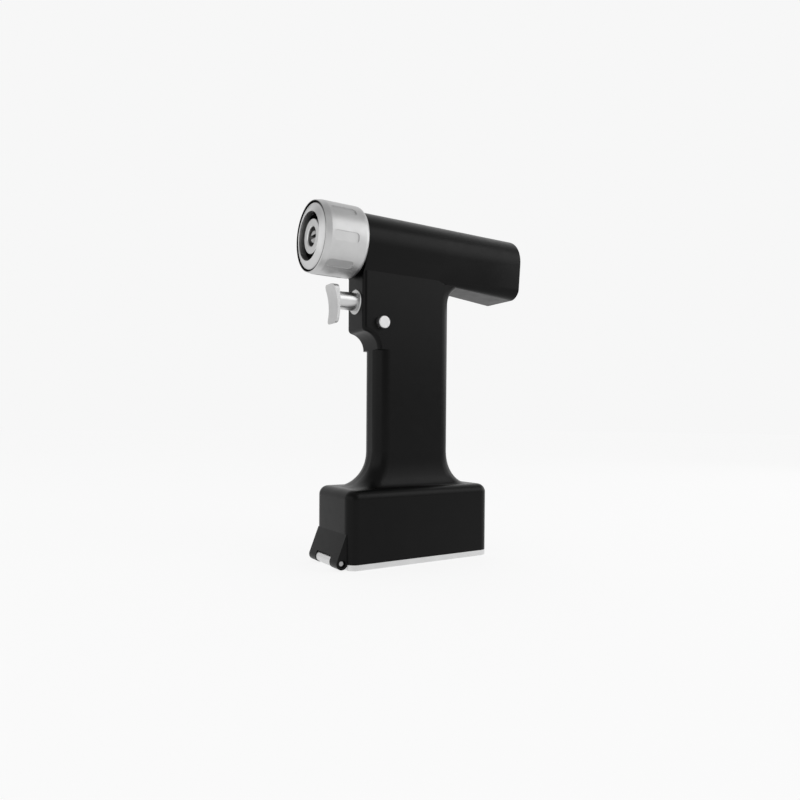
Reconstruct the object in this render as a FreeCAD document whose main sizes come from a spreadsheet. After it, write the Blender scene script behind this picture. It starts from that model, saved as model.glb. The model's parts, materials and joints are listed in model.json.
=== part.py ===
# Battery surgical drill: a black aluminium pistol housing with a fluted quick-coupling collar,
# a planetary drive in the barrel, a plunger trigger, a push-through direction selector and
# a battery chamber closed from below by a hinged silver lid.
# Frame: millimetres, +Z up, the collar points along -X, the origin is under the middle of the drill.

import FreeCAD, Part
import math
import os
import re
import Sketcher
from FreeCAD import Placement, Rotation, Vector

os.makedirs("parts", exist_ok=True)

SIZES = {
    # the whole drill
    "overall_length": 138.75,
    "axis_height": 178.3,
    "running_clearance": 0.05,
    "seat_clearance": 0.02,
    "body_gap": 0.35,
    # fluted collar and its face ring
    "collar_radius": 19.55,
    "collar_length": 26.4,
    "collar_front_edge": 0.4,
    "collar_lead_length": 3.4,
    "collar_lead_depth": 0.6,
    "collar_chamfer_length": 3.0,
    "collar_chamfer_depth": 2.0,
    "collar_bore_radius": 18.0,
    "collar_land_length": 4.0,
    "flute_count": 8,
    "flute_width": 5.2,
    "flute_length": 15.0,
    "flute_depth": 0.5,
    "flute_corner": 1.9,
    "flute_front": 4.2,
    "flute_phase": 8.2,
    "face_ring_radius": 18.0,
    "face_ring_depth": 2.4,
    "face_ring_groove": 0.3,
    "face_ring_edge": 1.4,
    "face_recess": 0.15,
    "face_ring_dome": 1.4,
    "channel_radius": 12.9,
    "channel_depth": 11.5,
    "bayonet_radius": 13.6,
    "bayonet_length": 9.6,
    "bayonet_lug_radius": 12.7,
    "bayonet_lug_width": 8.0,
    "bayonet_lug_thickness": 2.0,
    "bayonet_lug_setback": 2.6,
    "bayonet_lug_count": 3,
    # nose that carries the collar and the coupling boss
    "nose_radius": 16.3,
    "nose_bore_radius": 13.45,
    "nose_spigot_length": 5.7,
    "circlip_setback": 0.7,
    "circlip_thickness": 1.0,
    "circlip_depth": 0.65,
    "circlip_reach": 1.3,
    "collar_spring_wire": 0.55,
    "collar_spring_turns": 4,
    "boss_radius": 9.3,
    "boss_bore_radius": 5.2,
    "boss_recess": 0.4,
    "boss_edge": 0.5,
    "boss_step": 0.4,
    "boss_flange_radius": 15.0,
    "boss_flange_thickness": 1.95,
    "channel_seal_thickness": 1.5,
    # output spindle and its two shielded bearings
    "spindle_tip_radius": 3.4,
    "spindle_recess": 1.2,
    "spindle_slot_width": 1.9,
    "spindle_slot_depth": 3.2,
    "spindle_radius": 4.0,
    "bearing_radius": 8.0,
    "bearing_width": 5.0,
    "bearing_race_thickness": 1.3,
    "bearing_spacing": 0.6,
    "boss_bearing_wall": 1.0,
    # planetary gear stage
    "gear_module": 0.5,
    "sun_teeth": 12,
    "planet_teeth": 18,
    "planet_count": 3,
    "gear_width": 6.5,
    "gear_backlash": 0.1,
    "carrier_radius": 9.6,
    "carrier_thickness": 4.7,
    "carrier_gap": 1.1,
    "carrier_pin_radius": 1.0,
    "ring_gear_length": 9.0,
    # barrel of the housing
    "barrel_radius": 17.15,
    "barrel_bore_radius": 15.0,
    "barrel_end_wall": 3.2,
    "barrel_end_bevel": 1.2,
    "waist_half_width": 9.6,
    "waist_drop": 17.5,
    "waist_corner": 1.2,
    "barrel_straight_end": 9.475,
    "tail_drop": 22.2,
    "tail_corner": 6.4,
    "tail_lean": 4.0,
    "tail_bore_radius": 13.4,
    "cable_channel_width": 6.0,
    "cable_channel_depth": 2.5,
    # motor
    "motor_flange_thickness": 4.5,
    "motor_pilot_radius": 3.0,
    "motor_can_length": 52.0,
    "motor_can_wall": 1.5,
    "motor_shaft_radius": 1.5,
    "motor_bearing_radius": 5.0,
    "motor_bearing_width": 4.0,
    "rotor_radius": 7.0,
    "rotor_length": 36.0,
    "winding_radius": 10.2,
    "winding_air_gap": 0.5,
    "hall_board_thickness": 1.6,
    "power_board_length": 24.0,
    "power_board_width": 22.0,
    "board_thickness": 1.6,
    "lead_radius": 1.1,
    "lead_bend": 4.5,
    "lead_setback": 9.5,
    # handle and trigger block
    "handle_length": 50.4,
    "handle_width": 19.5,
    "handle_corner": 7.5,
    "handle_shift": -5.325,
    "handle_wall": 2.9,
    "cavity_corner": 2.5,
    "flare_height": 19.5,
    "flare_sink": 0.1,
    "crook_height": 11.0,
    "crook_reach": 11.0,
    "crook_sink": 0.2,
    "passage_step_drop": 16.0,
    "block_reach": 9.85,
    "block_bottom": 131.5,
    "block_corner": 2.5,
    "block_throat": 9.5,
    "block_depth_behind": 10.5,
    "block_side_round": 2.2,
    # trigger
    "trigger_height": 146.0,
    "trigger_travel": 6.0,
    "plunger_radius": 5.0,
    "pad_standoff": 6.1,
    "plunger_guide_length": 5.9,
    "plunger_rod_radius": 2.2,
    "bush_flange_radius": 6.9,
    "bush_flange_thickness": 0.6,
    "bush_radius": 6.2,
    "bush_length": 19.3,
    "bush_end_wall": 2.5,
    "trigger_seal_section": 0.35,
    "trigger_seal_setback": 2.2,
    "trigger_spring_wire": 0.35,
    "trigger_spring_turns": 6,
    "trigger_spring_radius": 3.4,
    "magnet_radius": 3.2,
    "magnet_length": 3.0,
    "pad_width": 10.8,
    "pad_thickness": 2.7,
    "pad_above": 8.0,
    "pad_below": 13.4,
    "pad_hollow_radius": 32.0,
    "pad_back_radius": 55.0,
    "pad_top_lean": 1.9,
    "pad_foot_lean": 0.2,
    "pad_back_lean": 1.0,
    "pad_heel": 1.5,
    "pad_corner": 2.6,
    # direction selector
    "selector_height": 134.3,
    "selector_setback": 11.35,
    "selector_radius": 3.5,
    "selector_travel": 3.5,
    "selector_edge": 0.45,
    "selector_dish_radius": 4.3,
    "selector_dish_depth": 0.4,
    "selector_seal_section": 0.45,
    "selector_seal_inset": 5.0,
    # battery box
    "base_length": 94.8,
    "base_width": 41.5,
    "base_shift": -6.975,
    "base_height": 42.6,
    "base_corner": 6.0,
    "base_edge": 5.0,
    "chamber_wall": 2.25,
    "chamber_corner": 2.6,
    "chamber_ceiling": 36.0,
    # lid, hinge and catch
    "lid_thickness": 3.2,
    "lid_gap": 0.15,
    "lid_edge": 0.6,
    "hinge_setback": 2.45,
    "hinge_height": 3.95,
    "lug_radius": 3.3,
    "lug_half_width": 17.0,
    "lug_flare_height": 19.2,
    "knuckle_radius": 3.0,
    "knuckle_length": 16.6,
    "hinge_pin_radius": 1.25,
    "pin_recess_radius": 2.1,
    "pin_recess_depth": 1.0,
    "gasket_width": 1.2,
    "gasket_depth": 0.8,
    "gasket_proud": 0.1,
    "catch_thickness": 0.5,
    "catch_width": 12.0,
    "catch_height": 9.0,
    "catch_hook": 0.9,
    "catch_foot": 5.6,
    "catch_screw_grip": 2.0,
    # battery and electronics
    "battery_length": 82.0,
    "battery_clearance": 0.4,
    "battery_front_gap": 1.3,
    "battery_height": 26.6,
    "battery_wall": 0.9,
    "battery_lift": 0.5,
    "cell_radius": 9.1,
    "cell_count": 4,
    "cell_spacing": 18.7,
    "contact_block_length": 56.0,
    "contact_block_width": 20.0,
    "contact_block_height": 3.6,
    "contact_pin_radius": 1.2,
    "contact_spacing": 8.0,
    "contact_count": 5,
    "terminal_thickness": 0.6,
    "screw_head_radius": 2.0,
    "screw_head_height": 1.3,
    "screw_radius": 1.0,
    "control_board_bottom": 62.0,
    "control_board_top": 134.0,
    "board_screw_inset": 4.0,
    "chip_height": 1.5,
}

doc = FreeCAD.newDocument("surgical_power_drill")
sheet = doc.addObject("Spreadsheet::Sheet", "Sizes")
for row, (alias, value) in enumerate(SIZES.items(), 1):
    sheet.set("A%d" % row, alias.replace("_", " "))
    sheet.set("B%d" % row, str(value))
    sheet.setAlias("B%d" % row, alias)
doc.recompute()

nodes = []


# Reading the sheet

def formula(text):
    """The same formula with each size name pointing into the sheet."""
    return re.sub(r"\b([a-z]+(?:_[a-z]+)+)\b", r"Sizes.\1", text)


def number(text):
    """The present value of a formula of sizes, for first positions and for picking edges."""
    return float(sheet.evalExpression(formula(text)))


def near(value, text, slack=0.01):
    return abs(value - number(text)) < slack


def number_of(alias):
    return int(round(number(alias)))


# Sketches

def new_body(label, height="0", along="X", x="0"):
    """A body whose local X axis lies at a height along X or along Y."""
    body = doc.addObject("PartDesign::Body", label)
    body.Label = label
    if along == "Y":
        body.Placement = Placement(Vector(0, 0, 0), Rotation(Vector(0, 0, 1), 90))
    body.setExpression("Placement.Base.x", formula(x))
    body.setExpression("Placement.Base.z", formula(height))
    return body


def new_sketch(body, name, plane, lift="0"):
    """A sketch on one of the body's own planes, lifted along that plane's normal."""
    sketch = body.newObject("Sketcher::SketchObject", name)
    origin_plane = [item for item in body.Origin.OriginFeatures if item.Role == plane + "_Plane"][0]
    sketch.AttachmentSupport = [(origin_plane, "")]
    sketch.MapMode = "FlatFace"
    if lift != "0":
        sketch.setExpression("AttachmentOffset.Base.z", formula(lift))
    return sketch


def place_point(sketch, edge, end, x, y):
    """Holds one end of an edge at a formula of sizes, measured from the sketch's origin."""
    for kind, text, axis in (("DistanceX", x, -2), ("DistanceY", y, -1)):
        if text == "0":
            sketch.addConstraint(Sketcher.Constraint("PointOnObject", edge, end, axis))
        else:
            held = sketch.addConstraint(Sketcher.Constraint(kind, -1, 1, edge, end, number(text)))
            sketch.setExpression("Constraints[%d]" % held, formula(text))


def trace(sketch, points):
    """A closed outline. A point is (x, y), reached by a straight edge, or (x, y, radius, turn),
    reached by an arc of that radius which turns left (+1) or right (-1)."""
    places = [Vector(number(point[0]), number(point[1]), 0) for point in points]
    starts = []
    for index, point in enumerate(points):
        start = places[index - 1]
        end = places[index]
        if len(point) == 2:
            edge = sketch.addGeometry(Part.LineSegment(start, end), False)
            starts.append((edge, 1, 2))
            continue
        radius = number(point[2])
        chord = end - start
        rise = math.sqrt(max(radius ** 2 - chord.Length ** 2 / 4, 0))
        left = Vector(-chord.y, chord.x, 0).normalize()
        centre = start + chord / 2 + left * rise * point[3]
        first, last = (start, end) if point[3] > 0 else (end, start)
        angles = [math.atan2(place.y - centre.y, place.x - centre.x) for place in (first, last)]
        circle = Part.Circle(centre, Vector(0, 0, 1), radius)
        if angles[1] < angles[0]:
            angles[1] += 2 * math.pi
        edge = sketch.addGeometry(Part.ArcOfCircle(circle, angles[0], angles[1]), False)
        starts.append((edge, 1, 2) if point[3] > 0 else (edge, 2, 1))
    for index, (edge, start_end, far_end) in enumerate(starts):
        next_edge, next_start, _ = starts[(index + 1) % len(starts)]
        sketch.addConstraint(Sketcher.Constraint("Coincident", edge, far_end, next_edge, next_start))
        place_point(sketch, edge, far_end, points[index][0], points[index][1])
    for (edge, _, _), point in zip(starts, points):
        if len(point) == 4:
            held = sketch.addConstraint(Sketcher.Constraint("Radius", edge, number(point[2])))
            sketch.setExpression("Constraints[%d]" % held, formula(point[2]))
    return sketch


def add_circle(sketch, x, y, radius):
    centre = Vector(number(x), number(y), 0)
    edge = sketch.addGeometry(Part.Circle(centre, Vector(0, 0, 1), number(radius)), False)
    place_point(sketch, edge, 3, x, y)
    held = sketch.addConstraint(Sketcher.Constraint("Radius", edge, number(radius)))
    sketch.setExpression("Constraints[%d]" % held, formula(radius))
    return sketch


def rounded_box(low_x, high_x, low_y, high_y, corner):
    """The points of a rectangle with round corners, counterclockwise."""
    return [
        (f"{high_x} - {corner}", low_y),
        (high_x, f"{low_y} + {corner}", corner, 1),
        (high_x, f"{high_y} - {corner}"),
        (f"{high_x} - {corner}", high_y, corner, 1),
        (f"{low_x} + {corner}", high_y),
        (low_x, f"{high_y} - {corner}", corner, 1),
        (low_x, f"{low_y} + {corner}"),
        (f"{low_x} + {corner}", low_y, corner, 1),
    ]


def plain_box(low_x, high_x, low_y, high_y):
    return [(low_x, low_y), (high_x, low_y), (high_x, high_y), (low_x, high_y)]


# Features

def pad(body, name, sketch, length, both_ways=False, backward=False):
    feature = body.newObject("PartDesign::Pad", name)
    feature.Profile = sketch
    feature.setExpression("Length", formula(length))
    feature.Midplane = both_ways
    feature.Reversed = backward
    return feature


def pocket(body, name, sketch, length, both_ways=False, forward=False):
    """Cuts against the plane's normal, or along it when forward."""
    feature = body.newObject("PartDesign::Pocket", name)
    feature.Profile = sketch
    feature.setExpression("Length", formula(length))
    feature.Midplane = both_ways
    feature.Reversed = forward
    return feature


def turn(body, name, points):
    """An outline of (distance along the axis, radius) turned about the body's X axis."""
    sketch = trace(new_sketch(body, name + "_outline", "XZ"), points)
    feature = body.newObject("PartDesign::Revolution", name)
    feature.Profile = sketch
    feature.ReferenceAxis = (sketch, ["H_Axis"])
    feature.Angle = 360
    return feature


def repeat_around(body, name, feature, axis_sketch, count):
    pattern = body.newObject("PartDesign::PolarPattern", name)
    pattern.Originals = [feature]
    pattern.Axis = (axis_sketch, ["H_Axis"])
    pattern.Angle = 360
    pattern.setExpression("Occurrences", formula(count))
    body.Tip = pattern
    return pattern


def round_edges(body, name, radius, chosen):
    """Rounds the edges of the body so far that the test picks."""
    doc.recompute()
    base = body.Tip
    names = ["Edge%d" % (index + 1) for index, edge in enumerate(base.Shape.Edges) if chosen(edge)]
    feature = body.newObject("PartDesign::Fillet", name)
    feature.Base = (base, names)
    feature.setExpression("Radius", formula(radius))
    return feature


def outline_of(body):
    """The outline that was turned to make the body, whose level axis is the body's own axis."""
    return [item for item in body.Group if item.TypeId == "Sketcher::SketchObject"][0]


def bevel_edges(body, name, size, chosen):
    doc.recompute()
    base = body.Tip
    names = ["Edge%d" % (index + 1) for index, edge in enumerate(base.Shape.Edges) if chosen(edge)]
    feature = body.newObject("PartDesign::Chamfer", name)
    feature.Base = (base, names)
    feature.setExpression("Size", formula(size))
    return feature


def turned(label, points, height="axis_height", along="X", x="0", node=True):
    body = new_body(label, height, along, x)
    turn(body, "turning", points)
    if node:
        nodes.append(body)
    return body


def tube(label, start, end, inner, outer, height="axis_height", along="X", x="0", node=True):
    points = [(start, inner), (end, inner), (end, outer), (start, outer)]
    return turned(label, points, height, along, x, node)


def rod(label, start, end, radius, height="axis_height", along="X", x="0", node=True):
    return tube(label, start, end, "0", radius, height, along, x, node)


def block(label, low_x, high_x, low_y, high_y, low_z, high_z, corner=None, node=True):
    """A plate or block, with round upright corners where a corner radius is given."""
    body = new_body(label)
    sketch = new_sketch(body, "outline", "XY", low_z)
    if corner:
        trace(sketch, rounded_box(low_x, high_x, low_y, high_y, corner))
    else:
        trace(sketch, plain_box(low_x, high_x, low_y, high_y))
    pad(body, "thickness", sketch, f"({high_z}) - ({low_z})")
    if node:
        nodes.append(body)
    return body


def group(label, pieces):
    """Identical pieces kept together as one node of separate solids."""
    compound = doc.addObject("Part::Compound", label)
    compound.Label = label
    compound.Links = pieces
    nodes.append(compound)
    return compound


# Stations along the drill, from the collar's front to the barrel's end

COLLAR_FRONT = "(face_ring_dome - overall_length / 2)"
COLLAR_REAR = f"({COLLAR_FRONT} + collar_length)"
BARREL_FRONT = f"({COLLAR_REAR} + body_gap)"
TAIL_SLANT = "sin(tail_lean * 1 deg)"
BARREL_REAR = f"(overall_length / 2 - (barrel_radius - barrel_end_bevel) * {TAIL_SLANT})"
FACE_REAR = f"({COLLAR_FRONT} + face_recess + face_ring_depth)"
BAYONET_REAR = f"({FACE_REAR} + bayonet_length)"
SEAL_FRONT = f"({COLLAR_FRONT} + channel_depth)"
FLANGE_FRONT = f"({SEAL_FRONT} + channel_seal_thickness)"
NOSE_FRONT = f"({FLANGE_FRONT} + boss_flange_thickness)"
SPIGOT_END = f"({BARREL_FRONT} + nose_spigot_length)"
BOSS_FRONT = f"({COLLAR_FRONT} + boss_recess)"
BEARING_FRONT = f"({NOSE_FRONT} + boss_bearing_wall)"
BEARING_TWO = f"({BEARING_FRONT} + bearing_width + bearing_spacing)"
BEARING_END = f"({BEARING_TWO} + bearing_width)"
CARRIER_FRONT = f"({BEARING_END} + carrier_gap)"
CARRIER_REAR = f"({CARRIER_FRONT} + carrier_thickness)"
PLANET_FRONT = f"({CARRIER_REAR} + 0.5 * carrier_gap)"
GEAR_FRONT = SPIGOT_END
GEAR_REAR = f"({GEAR_FRONT} + ring_gear_length)"
MOTOR_SEAT = f"({GEAR_REAR} + motor_flange_thickness)"
MOTOR_REAR = f"({GEAR_REAR} + motor_flange_thickness + motor_can_length)"
HANDLE_FRONT = "(handle_shift - handle_length / 2)"
HANDLE_REAR = "(handle_shift + handle_length / 2)"
BLOCK_FRONT = f"({HANDLE_FRONT} - block_reach)"
CAVITY_FRONT = f"({HANDLE_FRONT} + handle_wall)"
CAVITY_REAR = f"({HANDLE_REAR} - handle_wall)"
UPPER_CAVITY_FRONT = f"({BLOCK_FRONT} + bush_length)"
BASE_FRONT = "(base_shift - base_length / 2)"
BASE_REAR = "(base_shift + base_length / 2)"
BASE_BOTTOM = "(lid_thickness + lid_gap)"
HINGE_X = f"({BASE_FRONT} - hinge_setback)"
HALF_BASE = "(base_width / 2)"
HALF_HANDLE = "(handle_width / 2)"
HALF_CAVITY = "(handle_width / 2 - handle_wall)"
PASSAGE_STEP = "(block_bottom - passage_step_drop)"
SELECTOR_X = f"({BLOCK_FRONT} + selector_setback)"
SELECTOR_SEAL_FAR = f"({HALF_HANDLE} - selector_seal_inset)"
SELECTOR_SEAL_NEAR = f"(selector_seal_inset - {HALF_HANDLE} - selector_travel)"
PLANET_ORBIT = "(gear_module * (sun_teeth + planet_teeth) / 2)"
PAD_REAR = f"({BLOCK_FRONT} - trigger_travel - pad_standoff)"
PLUNGER_FRONT = f"({PAD_REAR} + 0.3)"
GASKET_FRONT = f"({HINGE_X} + lug_radius + 2 * body_gap + 0.5 * gasket_width)"
CATCH_BEND = "(lid_thickness + 0.65 * catch_height)"
CATCH_SCREW_X = f"({BASE_REAR} - chamber_wall - body_gap - 0.55 * catch_foot)"
CATCH_SCREW_OFFSETS = ("(-catch_width / 4)", "(catch_width / 4)")

# Shares that set the form of a tooth and of a flare, not sizes of a piece
ADDENDUM = 0.9
DEDENDUM = 1.25
FLARE_LEVELS = 5
FLARE_END_SHARE = 0.995


# Housing

def lean_back(sketch, station):
    """Tilts an upright section about the barrel's axis height, so that its top lies further back."""
    sketch.AttachmentOffset = Placement(Vector(0, 0, 0), Rotation(Vector(1, 0, 0), number("tail_lean")))
    sketch.setExpression("AttachmentOffset.Base.y", formula("axis_height * (1 - cos(tail_lean * 1 deg))"))
    sketch.setExpression("AttachmentOffset.Base.z", formula(f"{station} - axis_height * {TAIL_SLANT}"))
    return sketch


def barrel_section(body, name, station, half_width, drop, corner, touch_across, touch_down, top="barrel_radius"):
    """The barrel's section: a round top whose sides run down from the touching point to a flat
    bottom with round corners. Across is Y and the barrel's axis is the sketch's height."""
    def below(text):
        return f"axis_height - ({text})"
    sketch = new_sketch(body, name, "YZ", station)
    points = [
        (f"{half_width} - {corner}", below(drop)),
        (half_width, below(f"{drop} - {corner}"), corner, 1),
        (touch_across, below(touch_down)),
        ("0", f"axis_height + {top}", top, 1),
        (f"-({touch_across})", below(touch_down), top, 1),
        (f"-({half_width})", below(f"{drop} - {corner}")),
        (f"-({half_width} - {corner})", below(drop), corner, 1),
    ]
    return trace(sketch, points)


def flare_section(body, name, height, reaches, foot, rise):
    """One level of a flare: the handle's outline grown by a quarter ellipse towards the foot, where
    the reaches are how far the foot stands out in front, behind and at the sides."""
    front, rear, side = reaches
    share = f"(1 - sqrt(1 - (({rise}) / ({height})) ^ 2))"
    low_x = f"({HANDLE_FRONT} - {front} * {share})"
    high_x = f"({HANDLE_REAR} + {rear} * {share})"
    half = f"({HALF_HANDLE} + {side} * {share})"
    sketch = new_sketch(body, name, "XY", foot)
    return trace(sketch, rounded_box(low_x, high_x, f"(-{half})", half, f"(handle_corner + {side} * {share})"))


def loft(body, name, profile, sections, ruled):
    feature = body.newObject("PartDesign::AdditiveLoft", name)
    feature.Profile = profile
    feature.Sections = sections
    feature.Ruled = ruled
    return feature


def is_upright(edge):
    box = edge.BoundBox
    return box.XLength < 0.01 and box.YLength < 0.01 and box.ZLength > 1


def make_housing():
    body = new_body("housing")
    body.AllowCompound = True

    # barrel: a plain round front, a straight length over the handle, and a tail that turns boxy
    front = add_circle(new_sketch(body, "barrel_front", "YZ", BARREL_FRONT), "0", "axis_height", "barrel_radius")
    pad(body, "barrel_nose", front, f"{BLOCK_FRONT} - {BARREL_FRONT} + 1")
    span = "(waist_half_width ^ 2 + waist_drop ^ 2)"
    slide = f"sqrt({span} - barrel_radius ^ 2)"
    across = f"(waist_half_width * barrel_radius ^ 2 + waist_drop * barrel_radius * {slide}) / {span}"
    down = f"(waist_drop * barrel_radius ^ 2 - waist_half_width * barrel_radius * {slide}) / {span}"
    waist = barrel_section(body, "waist", BLOCK_FRONT, "waist_half_width", "waist_drop", "waist_corner",
                           across, down)
    pad(body, "barrel_waist", waist, f"barrel_straight_end - {BLOCK_FRONT}")
    tail_start = barrel_section(body, "tail_start", "barrel_straight_end", "waist_half_width", "waist_drop",
                                "waist_corner", across, down)
    bevel_start = f"({BARREL_REAR} - barrel_end_bevel)"
    tail_end = barrel_section(body, "tail_end", bevel_start, "barrel_radius", "tail_drop", "tail_corner",
                              "barrel_radius", "0.0")
    loft(body, "barrel_tail", tail_start, [lean_back(tail_end, bevel_start)], True)
    lip_start = barrel_section(body, "lip_start", bevel_start, "barrel_radius", "tail_drop", "tail_corner",
                               "barrel_radius", "0.0")
    lean_back(lip_start, bevel_start)
    inset = "(barrel_radius - barrel_end_bevel)"
    lip_end = barrel_section(body, "lip_end", BARREL_REAR, inset, "(tail_drop - barrel_end_bevel)",
                             "(tail_corner - barrel_end_bevel)", inset, "0.0", inset)
    loft(body, "barrel_lip", lip_start, [lean_back(lip_end, BARREL_REAR)], True)

    # battery box
    side = new_sketch(body, "box_side", "XZ")
    trace(side, plain_box(BASE_FRONT, BASE_REAR, BASE_BOTTOM, "base_height"))
    pad(body, "box", side, "base_width", both_ways=True)
    round_edges(body, "box_corners", "base_corner", lambda edge: is_upright(edge) and is_in_box(edge))
    round_edges(body, "box_shoulder", "base_edge",
                lambda edge: is_in_box(edge) and edge.BoundBox.ZMin > number("base_height") - 0.5)

    # trigger block: a convex corner that runs into a concave throat above the handle's front
    bend_across = "(block_corner + block_throat - block_reach)"
    bend_down = f"sqrt((block_corner + block_throat) ^ 2 - {bend_across} ^ 2)"
    bend_share = "(block_corner / (block_corner + block_throat))"
    block_top = "axis_height - 0.6 * barrel_radius"
    block_back = f"{HANDLE_FRONT} + block_depth_behind"
    profile = new_sketch(body, "block_side", "XZ")
    trace(profile, [
        (BLOCK_FRONT, "block_bottom"),
        (f"{BLOCK_FRONT} + block_corner - {bend_across} * {bend_share}",
         f"block_bottom - {bend_down} * {bend_share}", "block_corner", 1),
        (HANDLE_FRONT, f"block_bottom - {bend_down}", "block_throat", -1),
        (block_back, f"block_bottom - {bend_down}"),
        (block_back, block_top),
        (BLOCK_FRONT, block_top),
    ])
    pad(body, "trigger_block", profile, "handle_width", both_ways=True)
    round_edges(body, "block_sides", "block_side_round", is_block_side)

    # lugs that flare from the box's front wall to the hinge
    reach = "hinge_setback"
    climb = "(lug_flare_height - hinge_height)"
    span = f"({reach} ^ 2 + {climb} ^ 2)"
    slide = f"sqrt({span} - lug_radius ^ 2)"
    touch_x = f"({reach} * lug_radius ^ 2 - {climb} * lug_radius * {slide}) / {span}"
    touch_z = f"({climb} * lug_radius ^ 2 + {reach} * lug_radius * {slide}) / {span}"
    lug = new_sketch(body, "lug_side", "XZ")
    trace(lug, [
        (BASE_FRONT, "lug_flare_height"),
        (f"{HINGE_X} + {touch_x}", f"hinge_height + {touch_z}"),
        (HINGE_X, "hinge_height - lug_radius", "lug_radius", 1),
        (f"{HINGE_X} + lug_radius", "hinge_height", "lug_radius", 1),
        (f"{BASE_FRONT} + chamber_wall", "hinge_height"),
        (f"{BASE_FRONT} + chamber_wall", "lug_flare_height"),
    ])
    pad(body, "lugs", lug, "2 * lug_half_width", both_ways=True)

    # flare that runs out to the box's shoulder on every side, then the handle itself
    foot_reaches = (f"({HANDLE_FRONT} - {BASE_FRONT} - base_edge)", f"({BASE_REAR} - base_edge - {HANDLE_REAR})",
                    f"({HALF_BASE} - base_edge - {HALF_HANDLE})")
    loft(body, "flare", *flare_levels(body, "flare", "flare_height", foot_reaches, "(base_height - flare_sink)",
                                      upward=True))
    grip = new_sketch(body, "handle_outline", "XY", "base_height - flare_sink + flare_height")
    trace(grip, rounded_box(HANDLE_FRONT, HANDLE_REAR, f"(-{HALF_HANDLE})", HALF_HANDLE, "handle_corner"))
    pad(body, "handle", grip, "axis_height - waist_drop + 2 - base_height + flare_sink - flare_height")

    # crook under the barrel, behind the handle
    loft(body, "crook", *flare_levels(body, "crook", "crook_height", ("0", "crook_reach", "0"),
                                      "axis_height - waist_drop - crook_sink", upward=False))

    # bore for the drive, a step that stops the motor, and a smaller bore behind it
    bore = add_circle(new_sketch(body, "drive_bore", "YZ", BARREL_FRONT), "0", "axis_height", "barrel_bore_radius")
    pocket(body, "drive_cut", bore, f"{MOTOR_REAR} - {BARREL_FRONT}", forward=True)
    tail_bore = add_circle(new_sketch(body, "tail_bore", "YZ", MOTOR_REAR), "0", "axis_height", "tail_bore_radius")
    pocket(body, "tail_cut", tail_bore, f"{BARREL_REAR} - barrel_end_wall - {MOTOR_REAR}", forward=True)

    # battery chamber, open below
    chamber = new_sketch(body, "chamber_outline", "XY", BASE_BOTTOM)
    trace(chamber, rounded_box(f"({BASE_FRONT} + chamber_wall)", f"({BASE_REAR} - chamber_wall)",
                               f"(chamber_wall - {HALF_BASE})", f"({HALF_BASE} - chamber_wall)", "chamber_corner"))
    pocket(body, "chamber", chamber, f"chamber_ceiling - {BASE_BOTTOM}", forward=True)

    # passage through the handle, narrower in front above the throat to leave the trigger block solid
    lower = new_sketch(body, "passage_outline", "XY", "chamber_ceiling")
    trace(lower, rounded_box(CAVITY_FRONT, CAVITY_REAR, f"(-{HALF_CAVITY})", HALF_CAVITY, "cavity_corner"))
    pocket(body, "passage", lower, f"{PASSAGE_STEP} - chamber_ceiling", forward=True)
    upper = new_sketch(body, "upper_passage_outline", "XY", PASSAGE_STEP)
    trace(upper, rounded_box(UPPER_CAVITY_FRONT, CAVITY_REAR, f"(-{HALF_CAVITY})", HALF_CAVITY, "cavity_corner"))
    pocket(body, "upper_passage", upper, f"axis_height - 0.8 * barrel_bore_radius - {PASSAGE_STEP}", forward=True)
    channel = new_sketch(body, "cable_channel_outline", "YZ", f"{CAVITY_REAR} - cavity_corner")
    trace(channel, plain_box("(-cable_channel_width / 2)", "(cable_channel_width / 2)",
                             "axis_height - barrel_bore_radius - cable_channel_depth",
                             "axis_height - 0.8 * barrel_bore_radius"))
    pocket(body, "cable_channel", channel, f"{MOTOR_REAR} + lead_setback + 2.5 * lead_radius - {CAVITY_REAR} + cavity_corner",
           forward=True)

    # holes for the trigger bush, the selector and the hinge pin
    bush = add_circle(new_sketch(body, "bush_hole", "YZ", BLOCK_FRONT), "0", "trigger_height",
                      "bush_radius + seat_clearance")
    pocket(body, "bush_cut", bush, f"bush_length + 1", forward=True)
    across_hole = new_sketch(body, "selector_hole", "XZ")
    add_circle(across_hole, SELECTOR_X, "selector_height", "selector_radius + running_clearance")
    pocket(body, "selector_cut", across_hole, "handle_width + 2", both_ways=True)
    for side, facing in (("near", 1), ("far", -1)):
        dish = new_sketch(body, f"selector_dish_{side}", "XZ", f"{facing} * {HALF_HANDLE}")
        add_circle(dish, SELECTOR_X, "selector_height", "selector_dish_radius")
        pocket(body, f"selector_dish_cut_{side}", dish, "selector_dish_depth", forward=facing < 0)
    slot = new_sketch(body, "knuckle_slot", "XZ")
    trace(slot, plain_box(f"{HINGE_X} - 2 * lug_radius", f"{HINGE_X} + lug_radius + body_gap",
                          "hinge_height - 2 * lug_radius", "hinge_height + lug_radius"))
    pocket(body, "knuckle_cut", slot, "knuckle_length + 2 * body_gap", both_ways=True)
    pin_hole = add_circle(new_sketch(body, "pin_hole", "XZ"), HINGE_X, "hinge_height",
                          "hinge_pin_radius + seat_clearance")
    pocket(body, "pin_cut", pin_hole, "2 * lug_half_width + 2", both_ways=True)
    for side, facing in (("near", 1), ("far", -1)):
        recess = new_sketch(body, f"pin_recess_{side}", "XZ", f"{facing} * lug_half_width")
        add_circle(recess, HINGE_X, "hinge_height", "pin_recess_radius")
        pocket(body, f"pin_recess_cut_{side}", recess, "pin_recess_depth", forward=facing < 0)

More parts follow.
